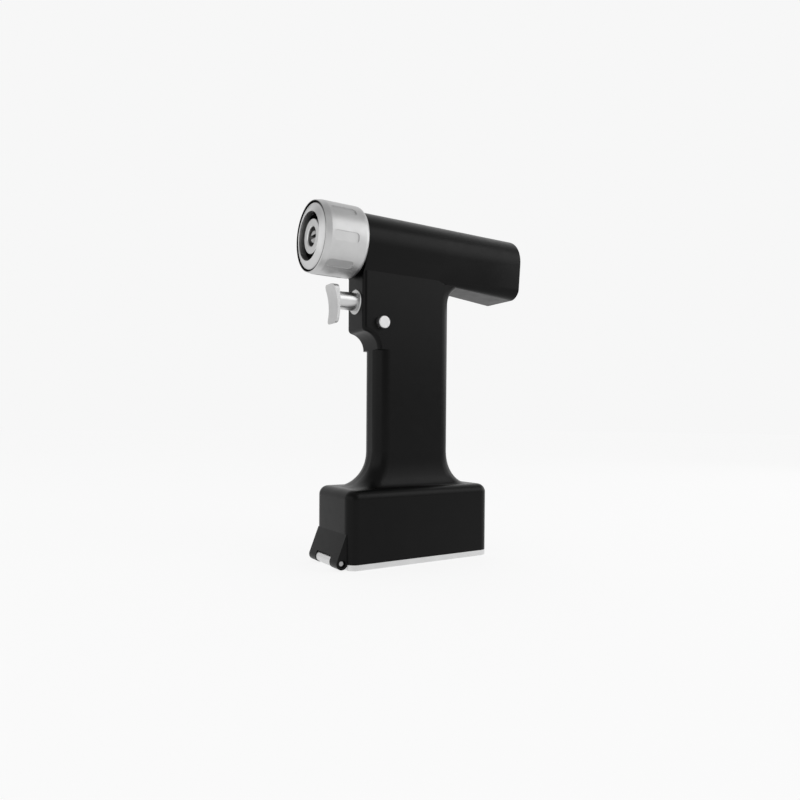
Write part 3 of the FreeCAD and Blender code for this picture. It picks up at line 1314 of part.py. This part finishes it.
def make_electronics():
    """The control board on the handle's inner wall, its parts, and the leads up to the motor's driver."""
    rear_face = f"({HALF_CAVITY} - 0.1)"
    front_face = f"({rear_face} - board_thickness)"
    board_front = f"({UPPER_CAVITY_FRONT} + cavity_corner)"
    board_rear = f"({CAVITY_REAR} - cavity_corner)"
    board = block("control_board", board_front, board_rear, front_face, rear_face, "control_board_bottom",
                  "control_board_top", node=False)
    for index, z in enumerate(("control_board_bottom + board_screw_inset", "control_board_top - board_screw_inset")):
        x = f"({board_front} + board_screw_inset)"
        hole = add_circle(new_sketch(board, f"screw_hole_{index + 1}", "XZ", f"-({front_face})"), x, z,
                          "screw_radius + running_clearance")
        pocket(board, f"screw_cut_{index + 1}", hole, "board_thickness", forward=False)
    nodes.append(board)
    heads = []
    for index, z in enumerate(("control_board_bottom + board_screw_inset", "control_board_top - board_screw_inset")):
        x = f"({board_front} + board_screw_inset)"
        heads.append(turned(f"board_screw_{index + 1}", [
            (f"{front_face} - screw_head_height", "0"), (rear_face, "0"), (rear_face, "screw_radius"),
            (front_face, "screw_radius"), (front_face, "screw_head_radius"),
            (f"{front_face} - screw_head_height", "screw_head_radius")], z, "Y", x, node=False))
    group("board_screws", heads)
    chips = []
    middle = f"(({board_front} + {board_rear}) / 2)"
    chip_rows = (("-3", "9", "20", "32"), ("-6", "2", "42", "50"), ("5", "11", "43", "49"), ("-3", "6", "56", "62"))
    for index, (left, right, low, high) in enumerate(chip_rows):
        chips.append(block(f"chip_{index + 1}", f"({middle} + {left})", f"({middle} + {right})",
                           f"({front_face} - chip_height)", front_face, f"(control_board_bottom + {low})",
                           f"(control_board_bottom + {high})", node=False))
    group("control_chips", chips)

    power_deck = "axis_height - 4"
    x_up = number(f"{MOTOR_REAR} + lead_setback")
    low = number("axis_height - barrel_bore_radius - lead_radius") - 0.05
    x_down = number(f"{CAVITY_REAR} - lead_radius - 1.5")
    route = [Vector(x_up, 0, number(power_deck) - 0.1), Vector(x_up, 0, low), Vector(x_down, 0, low),
             Vector(number(middle), 0, low - 14), Vector(number(middle), 0, number("control_board_top") + 2)]
    loom = doc.addObject("Part::Feature", "motor_lead_loom")
    loom.Label = "motor_lead_loom"
    loom.Shape = bent_tube(route, number("lead_radius"), number("lead_bend"))
    loom.Placement = Placement()
    nodes.append(loom)


def bent_tube(route, radius, bend):
    """A tube along straight runs joined by arcs that touch both."""
    edges = []
    start = route[0]
    for before, corner, after in zip(route, route[1:], route[2:]):
        back = (before - corner).normalize()
        ahead = (after - corner).normalize()
        half_turn = (math.pi - back.getAngle(ahead)) / 2
        setback = bend * math.tan(half_turn)
        entry = corner + back * setback
        leave = corner + ahead * setback
        inward = (back + ahead).normalize()
        middle = corner + inward * (bend / math.cos(half_turn) - bend)
        edges.append(Part.makeLine(start, entry))
        edges.append(Part.Arc(entry, middle, leave).toShape())
        start = leave
    edges.append(Part.makeLine(start, route[-1]))
    path = Part.Wire(edges)
    first_way = route[1] - route[0]
    section = Part.Wire([Part.makeCircle(radius, route[0], first_way)])
    tube_shape = path.makePipeShell([section], True, True)
    return tube_shape


def make_all():
    make_housing()
    make_collar()
    make_boss()
    make_spindle()
    make_gears()
    make_motor()
    make_trigger()
    make_selector()
    make_lid()
    make_catch()
    make_battery()
    make_electronics()
    doc.recompute()


make_all()

# Nothing is written unless every object recomputed and every piece is sound
failed = [item.Label for item in doc.Objects if "Invalid" in item.State or "Error" in item.State]
if failed:
    raise RuntimeError("Failed to recompute: " + ", ".join(failed))
for node in nodes:
    if node.Shape.isNull() or not node.Shape.isValid() or not node.Shape.Solids:
        raise RuntimeError("Not a sound solid: " + node.Label)
for node in nodes:
    node.Shape.exportStep("parts/" + node.Label + ".step")
print(len(nodes), "nodes written")
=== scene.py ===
# Surgical power drill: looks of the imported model, seen at the photograph's angle on a pale floor.
# Lengths are metres in the model's own frame: +Z up, the drive axis along X, the collar towards -X.

import json
import math

import bpy
from mathutils import Matrix, Vector


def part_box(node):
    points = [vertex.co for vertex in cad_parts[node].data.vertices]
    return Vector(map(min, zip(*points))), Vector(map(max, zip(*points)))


MM = 0.001
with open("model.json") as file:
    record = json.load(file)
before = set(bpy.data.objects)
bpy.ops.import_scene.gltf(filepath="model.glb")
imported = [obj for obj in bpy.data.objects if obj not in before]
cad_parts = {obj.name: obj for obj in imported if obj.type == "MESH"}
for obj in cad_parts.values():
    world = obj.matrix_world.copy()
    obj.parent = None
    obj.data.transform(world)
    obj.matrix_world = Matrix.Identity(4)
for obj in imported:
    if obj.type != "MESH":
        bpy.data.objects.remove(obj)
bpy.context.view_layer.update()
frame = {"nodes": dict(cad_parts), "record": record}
nodes = frame["nodes"]

# The photograph's camera, fitted to the collar's circles, the box's edges and the lid
CAMERA_PLACE = Vector((-214.695, -317.8, 78.27)) * MM
CAMERA_YAW = math.radians(31.726)
CAMERA_PITCH = math.radians(0.964)
CAMERA_ROLL = math.radians(0.396)
FOCAL_PIXELS = 645.374
CENTRE_PIXEL = (388.277, 434.362)
IMAGE_PIXELS = 800
SENSOR_MM = 36.0
NEAREST_SEEN = 0.01
FARTHEST_SEEN = 30

# The drive axis and the face ring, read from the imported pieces
shaft_low, shaft_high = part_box("rotor_shaft")
AXIS_HEIGHT = (shaft_low[2] + shaft_high[2]) / 2
ring_low, ring_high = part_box("collar_face_ring")
FACE_RING_RADIUS = (ring_high[2] - ring_low[2]) / 2

# Painted shade in the gap round the face ring: its grey, and where the painted shade on each lip starts and
# ends, from the ring's edge
GAP_SHADE_GREY = 0.03
RING_LIP_STARTS = -0.9 * MM
RING_LIP_ENDS = -0.3 * MM
COLLAR_LIP_STARTS = 0.75 * MM
COLLAR_LIP_ENDS = 0.5 * MM

# The part of a noise's range that most of its values fall in, and the levels of detail of each layer
NOISE_LOW = 0.3
NOISE_HIGH = 0.7
COLOUR_DETAIL = 4.0
GLOSS_DETAIL = 6.0
GRAIN_DETAIL = 3.0
GLOSS_TO_MOTTLE = 2.3
GRAIN_DEPTH = 0.00002


def add_node(tree, kind, x, y, **settings):
    node = tree.nodes.new(kind)
    node.location = (x, y)
    for name, value in settings.items():
        setattr(node, name, value)
    return node


def noise(tree, scale, detail, x, y, stretch=(1, 1, 1)):
    """Noise in the object's own metres, stretched along an axis for a drawn or turned grain."""
    place = add_node(tree, "ShaderNodeTexCoord", x - 420, y)
    mapping = add_node(tree, "ShaderNodeMapping", x - 220, y)
    mapping.inputs["Scale"].default_value = stretch
    texture = add_node(tree, "ShaderNodeTexNoise", x, y)
    texture.inputs["Scale"].default_value = scale
    texture.inputs["Detail"].default_value = detail
    texture.inputs["Roughness"].default_value = 0.55
    tree.links.new(place.outputs["Object"], mapping.inputs["Vector"])
    tree.links.new(mapping.outputs["Vector"], texture.inputs["Vector"])
    return texture.outputs["Fac"]


def spread(tree, source, low, high, x, y):
    """A value mapped from the noise's middle range to a range of its own."""
    node = add_node(tree, "ShaderNodeMapRange", x, y)
    node.inputs["From Min"].default_value = NOISE_LOW
    node.inputs["From Max"].default_value = NOISE_HIGH
    node.inputs["To Min"].default_value = low
    node.inputs["To Max"].default_value = high
    tree.links.new(source, node.inputs["Value"])
    return node.outputs["Result"]


def two_tone(tree, source, low, high, x, y):
    """A colour between two, by the noise's middle range."""
    ramp = add_node(tree, "ShaderNodeValToRGB", x, y)
    ramp.color_ramp.elements[0].position = NOISE_LOW
    ramp.color_ramp.elements[0].color = (*low, 1)
    ramp.color_ramp.elements[1].position = NOISE_HIGH
    ramp.color_ramp.elements[1].color = (*high, 1)
    tree.links.new(source, ramp.inputs["Fac"])
    return ramp.outputs["Color"]


def surface(name, low, high, rough, metallic=0.0, specular=0.5, mottle=90.0, grain=4000.0, bump=0.02,
            stretch=(1, 1, 1)):
    """A finish with mottled colour, uneven gloss and a fine grain: rough is (least, most)."""
    material = bpy.data.materials.new(name)
    material.use_nodes = True
    tree = material.node_tree
    shader = tree.nodes["Principled BSDF"]
    shader.inputs["Metallic"].default_value = metallic
    shader.inputs["Specular IOR Level"].default_value = specular
    colour = noise(tree, mottle, COLOUR_DETAIL, -700, 300)
    tree.links.new(two_tone(tree, colour, low, high, -420, 300), shader.inputs["Base Color"])
    gloss = noise(tree, mottle * GLOSS_TO_MOTTLE, GLOSS_DETAIL, -700, 0, stretch)
    tree.links.new(spread(tree, gloss, rough[0], rough[1], -420, 0), shader.inputs["Roughness"])
    fine = noise(tree, grain, GRAIN_DETAIL, -700, -300, stretch)
    relief = add_node(tree, "ShaderNodeBump", -200, -300)
    relief.inputs["Strength"].default_value = bump
    relief.inputs["Distance"].default_value = GRAIN_DEPTH
    tree.links.new(fine, relief.inputs["Height"])
    tree.links.new(relief.outputs["Normal"], shader.inputs["Normal"])
    return material


def grey(value):
    return (value, value, value)


def metal(name, low, high, rough, **settings):
    """A plain grey metal: low and high are its least and most reflectance."""
    return surface(name, grey(low), grey(high), rough, metallic=1.0, **settings)


def paint_gap_shade(material, unshaded_radius, shaded_radius):
    """Paints shade on the lip of the gap round the face ring, darker from an unshaded to a shaded distance
    off the axis.
    """
    tree = material.node_tree
    colour = tree.nodes["Principled BSDF"].inputs["Base Color"]
    finish = colour.links[0].from_socket
    place = add_node(tree, "ShaderNodeTexCoord", -1000, 700)
    from_axis = add_node(tree, "ShaderNodeVectorMath", -800, 700, operation="SUBTRACT")
    from_axis.inputs[1].default_value = (0, 0, AXIS_HEIGHT)
    across = add_node(tree, "ShaderNodeVectorMath", -600, 700, operation="MULTIPLY")
    across.inputs[1].default_value = (0, 1, 1)
    radius = add_node(tree, "ShaderNodeVectorMath", -400, 700, operation="LENGTH")
    shade = add_node(tree, "ShaderNodeMapRange", -200, 700)
    shade.inputs["From Min"].default_value = unshaded_radius
    shade.inputs["From Max"].default_value = shaded_radius
    blend = add_node(tree, "ShaderNodeMixRGB", 0, 500)
    blend.inputs["Color2"].default_value = (*grey(GAP_SHADE_GREY), 1)
    tree.links.new(place.outputs["Object"], from_axis.inputs[0])
    tree.links.new(from_axis.outputs[0], across.inputs[0])
    tree.links.new(across.outputs[0], radius.inputs[0])
    tree.links.new(radius.outputs["Value"], shade.inputs["Value"])
    tree.links.new(shade.outputs["Result"], blend.inputs["Fac"])
    tree.links.new(finish, blend.inputs["Color1"])
    tree.links.new(blend.outputs["Color"], colour)


# One finish for each material slot of the record
MATERIALS = {
    "housing_black": surface("satin_black", grey(0.0008), grey(0.0016), (0.29, 0.36), specular=0.15,
                             grain=5200, bump=0.10),
    "collar_steel": metal("blasted_steel", 0.56, 0.62, (0.42, 0.48), grain=6000, bump=0.25),
    "face_ring_steel": metal("turned_face", 0.60, 0.66, (0.36, 0.42), grain=3000, bump=0.12),
    "boss_steel": metal("turned_boss", 0.58, 0.64, (0.34, 0.40), grain=3000, bump=0.15),
    "spindle_steel": metal("spindle", 0.35, 0.48, (0.25, 0.38), grain=3000, bump=0.15),
    "bayonet_black": surface("black_oxide", grey(0.004), grey(0.009), (0.35, 0.5), specular=0.2, bump=0.1),
    "inner_steel": metal("inner_steel", 0.40, 0.52, (0.3, 0.45), bump=0.1),
    "bearing_steel": metal("bearing_steel", 0.62, 0.72, (0.12, 0.2), bump=0.05),
    "gear_steel": metal("gear_steel", 0.38, 0.48, (0.25, 0.4), bump=0.1),
    "spring_steel": metal("spring_steel", 0.32, 0.45, (0.2, 0.3), bump=0.05),
    "screw_steel": metal("screw_steel", 0.34, 0.42, (0.32, 0.42), bump=0.05),
    "motor_can_aluminium": metal("motor_can", 0.55, 0.65, (0.3, 0.4), bump=0.1),
    "winding_copper": surface("winding", (0.45, 0.17, 0.06), (0.62, 0.26, 0.1), (0.3, 0.4), metallic=1.0,
                              stretch=(0.05, 1, 1), bump=0.4),
    "magnet_coating": metal("nickel", 0.5, 0.58, (0.15, 0.25)),
    "circuit_board": surface("solder_mask", (0.008, 0.07, 0.022), (0.014, 0.11, 0.034), (0.25, 0.35)),
    "chip_plastic": surface("chip", grey(0.012), grey(0.02), (0.5, 0.6)),
    "lead_insulation": surface("lead", (0.3, 0.012, 0.01), (0.4, 0.02, 0.016), (0.4, 0.5)),
    "seal_rubber": surface("seal_rubber", grey(0.004), grey(0.009), (0.6, 0.75), specular=0.25, bump=0.2),
    "gasket_rubber": surface("gasket_rubber", grey(0.10), grey(0.14), (0.6, 0.7), bump=0.2),
    "trigger_steel": metal("trigger_steel", 0.54, 0.60, (0.36, 0.44), bump=0.2),
    "plunger_steel": metal("plunger_steel", 0.60, 0.66, (0.30, 0.34), bump=0.02),
    "bush_steel": metal("bush_steel", 0.5, 0.6, (0.25, 0.35), bump=0.08),
    "button_steel": metal("button_steel", 0.62, 0.68, (0.34, 0.4), bump=0.1),
    "lid_steel": metal("lid_steel", 0.68, 0.74, (0.36, 0.44), grain=4500, bump=0.2),
    "contact_plastic": surface("contact_plastic", grey(0.014), grey(0.022), (0.45, 0.55)),
    "contact_brass": surface("contact_brass", (0.62, 0.42, 0.14), (0.72, 0.5, 0.2), (0.2, 0.3), metallic=1.0),
    "battery_plastic": surface("battery_plastic", grey(0.02), grey(0.03), (0.42, 0.55), bump=0.2),
    "cell_steel": surface("cell_sleeve", (0.05, 0.12, 0.05), (0.07, 0.16, 0.07), (0.3, 0.4)),
}


def finish_cad_nodes():
    """Gives each CAD node its slot's finish, with smooth shading."""
    slots = {part["node"]: part["material_slot"] for part in frame["record"]["subparts"]}
    for name, item in nodes.items():
        item.data.materials.clear()
        item.data.materials.append(MATERIALS[slots[name]])
        for face in item.data.polygons:
            face.use_smooth = True


# The stage: brightness of the white side and of the room, and the directions where one fades to the other
BACKDROP = 0.93
ROOM = 0.45
BACKDROP_WAY = (0.526, 0.850, 0.0)
BACKDROP_FADE = (0.10, 0.66)
FLOOR_GLOW_SHARE = 0.86
FLOOR_GLOW = 1.0
FLOOR_HALF_WIDTH = 6.0

# Each lamp's name, place, target, direction of its length, length, width and radiance
SOFTBOXES = [
    ("top_softbox", (0.45, -0.60, 0.62), (0, 0, 0.18), (0.80, 0.60, 0), 0.6, 0.5, 1.5),
    ("side_softbox", (0.52, -0.86, 0.32), (-0.01, 0, 0.15), (0.85, 0.53, 0), 0.8, 0.2, 0.9),
    ("left_softbox", (-0.95, -0.08, 0.36), (-0.05, 0, 0.12), (0, 1, 0), 1.6, 0.6, 0.75),
    ("rear_softbox", (0.95, -0.25, 0.36), (0.03, 0, 0.15), (0, 1, 0), 0.9, 0.4, 1.4),
]


def add_seen(tree, x, y):
    """One for rays that come from the camera, a reflection or clear glass, otherwise nought."""
    path = add_node(tree, "ShaderNodeLightPath", x, y)
    seen = add_node(tree, "ShaderNodeMath", x + 200, y, operation="MAXIMUM")
    also = add_node(tree, "ShaderNodeMath", x + 400, y, operation="MAXIMUM")
    tree.links.new(path.outputs["Is Camera Ray"], seen.inputs[0])
    tree.links.new(path.outputs["Is Glossy Ray"], seen.inputs[1])
    tree.links.new(seen.outputs[0], also.inputs[0])
    tree.links.new(path.outputs["Is Transmission Ray"], also.inputs[1])
    return also.outputs[0]


def make_floor():
    """A white sweep: it glows for what the camera and reflections see, and still takes the shadow."""
    size = FLOOR_HALF_WIDTH
    corners = [(-size, -size, 0), (size, -size, 0), (size, size, 0), (-size, size, 0)]
    mesh = bpy.data.meshes.new("floor")
    mesh.from_pydata(corners, [], [(0, 1, 2, 3)])
    floor = bpy.data.objects.new("floor", mesh)
    bpy.context.scene.collection.objects.link(floor)
    material = surface("floor_paper", grey(0.89), grey(0.91), (0.75, 0.85), specular=0.1, mottle=6, bump=0.01)
    tree = material.node_tree
    glow = add_node(tree, "ShaderNodeEmission", 0, -200)
    glow.inputs["Color"].default_value = (*grey(FLOOR_GLOW), 1)
    share = add_node(tree, "ShaderNodeMath", 200, -400, operation="MULTIPLY")
    share.inputs[1].default_value = FLOOR_GLOW_SHARE
    tree.links.new(add_seen(tree, -500, -600), share.inputs[0])
    mix = add_node(tree, "ShaderNodeMixShader", 400, 0)
    tree.links.new(share.outputs[0], mix.inputs["Fac"])
    tree.links.new(tree.nodes["Principled BSDF"].outputs[0], mix.inputs[1])
    tree.links.new(glow.outputs[0], mix.inputs[2])
    tree.links.new(mix.outputs[0], tree.nodes["Material Output"].inputs["Surface"])
    mesh.materials.append(material)


def make_world():
    """A studio that is white behind the drill and fades to a plain grey room on the other sides."""
    world = bpy.data.worlds.new("studio")
    bpy.context.scene.world = world
    world.use_nodes = True
    tree = world.node_tree
    tree.nodes.clear()
    place = add_node(tree, "ShaderNodeTexCoord", -800, 0)
    facing = add_node(tree, "ShaderNodeVectorMath", -600, 0, operation="DOT_PRODUCT")
    facing.inputs[1].default_value = BACKDROP_WAY
    fade = add_node(tree, "ShaderNodeMapRange", -400, 0, interpolation_type="SMOOTHSTEP")
    fade.inputs["From Min"].default_value = BACKDROP_FADE[0]
    fade.inputs["From Max"].default_value = BACKDROP_FADE[1]
    fade.inputs["To Min"].default_value = ROOM
    fade.inputs["To Max"].default_value = BACKDROP
    sky = add_node(tree, "ShaderNodeBackground", 0, 0)
    output = add_node(tree, "ShaderNodeOutputWorld", 200, 0)
    tree.links.new(place.outputs["Generated"], facing.inputs[0])
    tree.links.new(facing.outputs["Value"], fade.inputs["Value"])
    tree.links.new(fade.outputs["Result"], sky.inputs["Color"])
    tree.links.new(sky.outputs[0], output.inputs["Surface"])


def add_softbox(name, place, target, long_way, length, width, radiance):
    """A flat soft lamp whose length runs along long_way, with the radiance of its face."""
    data = bpy.data.lights.new(name, "AREA")
    data.shape = "RECTANGLE"
    data.size = length
    data.size_y = width
    data.energy = radiance * math.pi * length * width
    lamp = bpy.data.objects.new(name, data)
    bpy.context.scene.collection.objects.link(lamp)
    back = (Vector(place) - Vector(target)).normalized()
    across = Vector(long_way).normalized()
    along = (across - back * across.dot(back)).normalized()
    turn = Matrix((along, back.cross(along), back)).transposed().to_4x4()
    lamp.matrix_world = Matrix.Translation(Vector(place)) @ turn
    lamp.visible_camera = False


def make_camera():
    """The fitted camera: turned by its yaw, then its pitch and roll, with a small shift of the centre."""
    forward_level = Vector((math.sin(CAMERA_YAW), math.cos(CAMERA_YAW), 0))
    right_level = Vector((math.cos(CAMERA_YAW), -math.sin(CAMERA_YAW), 0))
    straight_up = Vector((0, 0, 1))
    forward = forward_level * math.cos(CAMERA_PITCH) - straight_up * math.sin(CAMERA_PITCH)
    up_level = straight_up * math.cos(CAMERA_PITCH) + forward_level * math.sin(CAMERA_PITCH)
    right = right_level * math.cos(CAMERA_ROLL) + up_level * math.sin(CAMERA_ROLL)
    up = up_level * math.cos(CAMERA_ROLL) - right_level * math.sin(CAMERA_ROLL)
    data = bpy.data.cameras.new("camera")
    data.sensor_width = SENSOR_MM
    data.lens = FOCAL_PIXELS * SENSOR_MM / IMAGE_PIXELS
    data.shift_x = (IMAGE_PIXELS / 2 - CENTRE_PIXEL[0]) / IMAGE_PIXELS
    data.shift_y = (CENTRE_PIXEL[1] - IMAGE_PIXELS / 2) / IMAGE_PIXELS
    data.clip_start = NEAREST_SEEN
    data.clip_end = FARTHEST_SEEN
    camera = bpy.data.objects.new("camera", data)
    bpy.context.scene.collection.objects.link(camera)
    turn = Matrix((right, up, -forward)).transposed().to_4x4()
    camera.matrix_world = Matrix.Translation(CAMERA_PLACE) @ turn
    bpy.context.scene.camera = camera


# Painted shade: the face ring's and the collar's lips are darkened towards the gap between them
paint_gap_shade(MATERIALS["face_ring_steel"], FACE_RING_RADIUS + RING_LIP_STARTS,
           FACE_RING_RADIUS + RING_LIP_ENDS)
paint_gap_shade(MATERIALS["collar_steel"], FACE_RING_RADIUS + COLLAR_LIP_STARTS,
           FACE_RING_RADIUS + COLLAR_LIP_ENDS)
finish_cad_nodes()
make_floor()
make_world()
for softbox in SOFTBOXES:
    add_softbox(*softbox)
make_camera()
bpy.context.scene.view_settings.view_transform = "Standard"
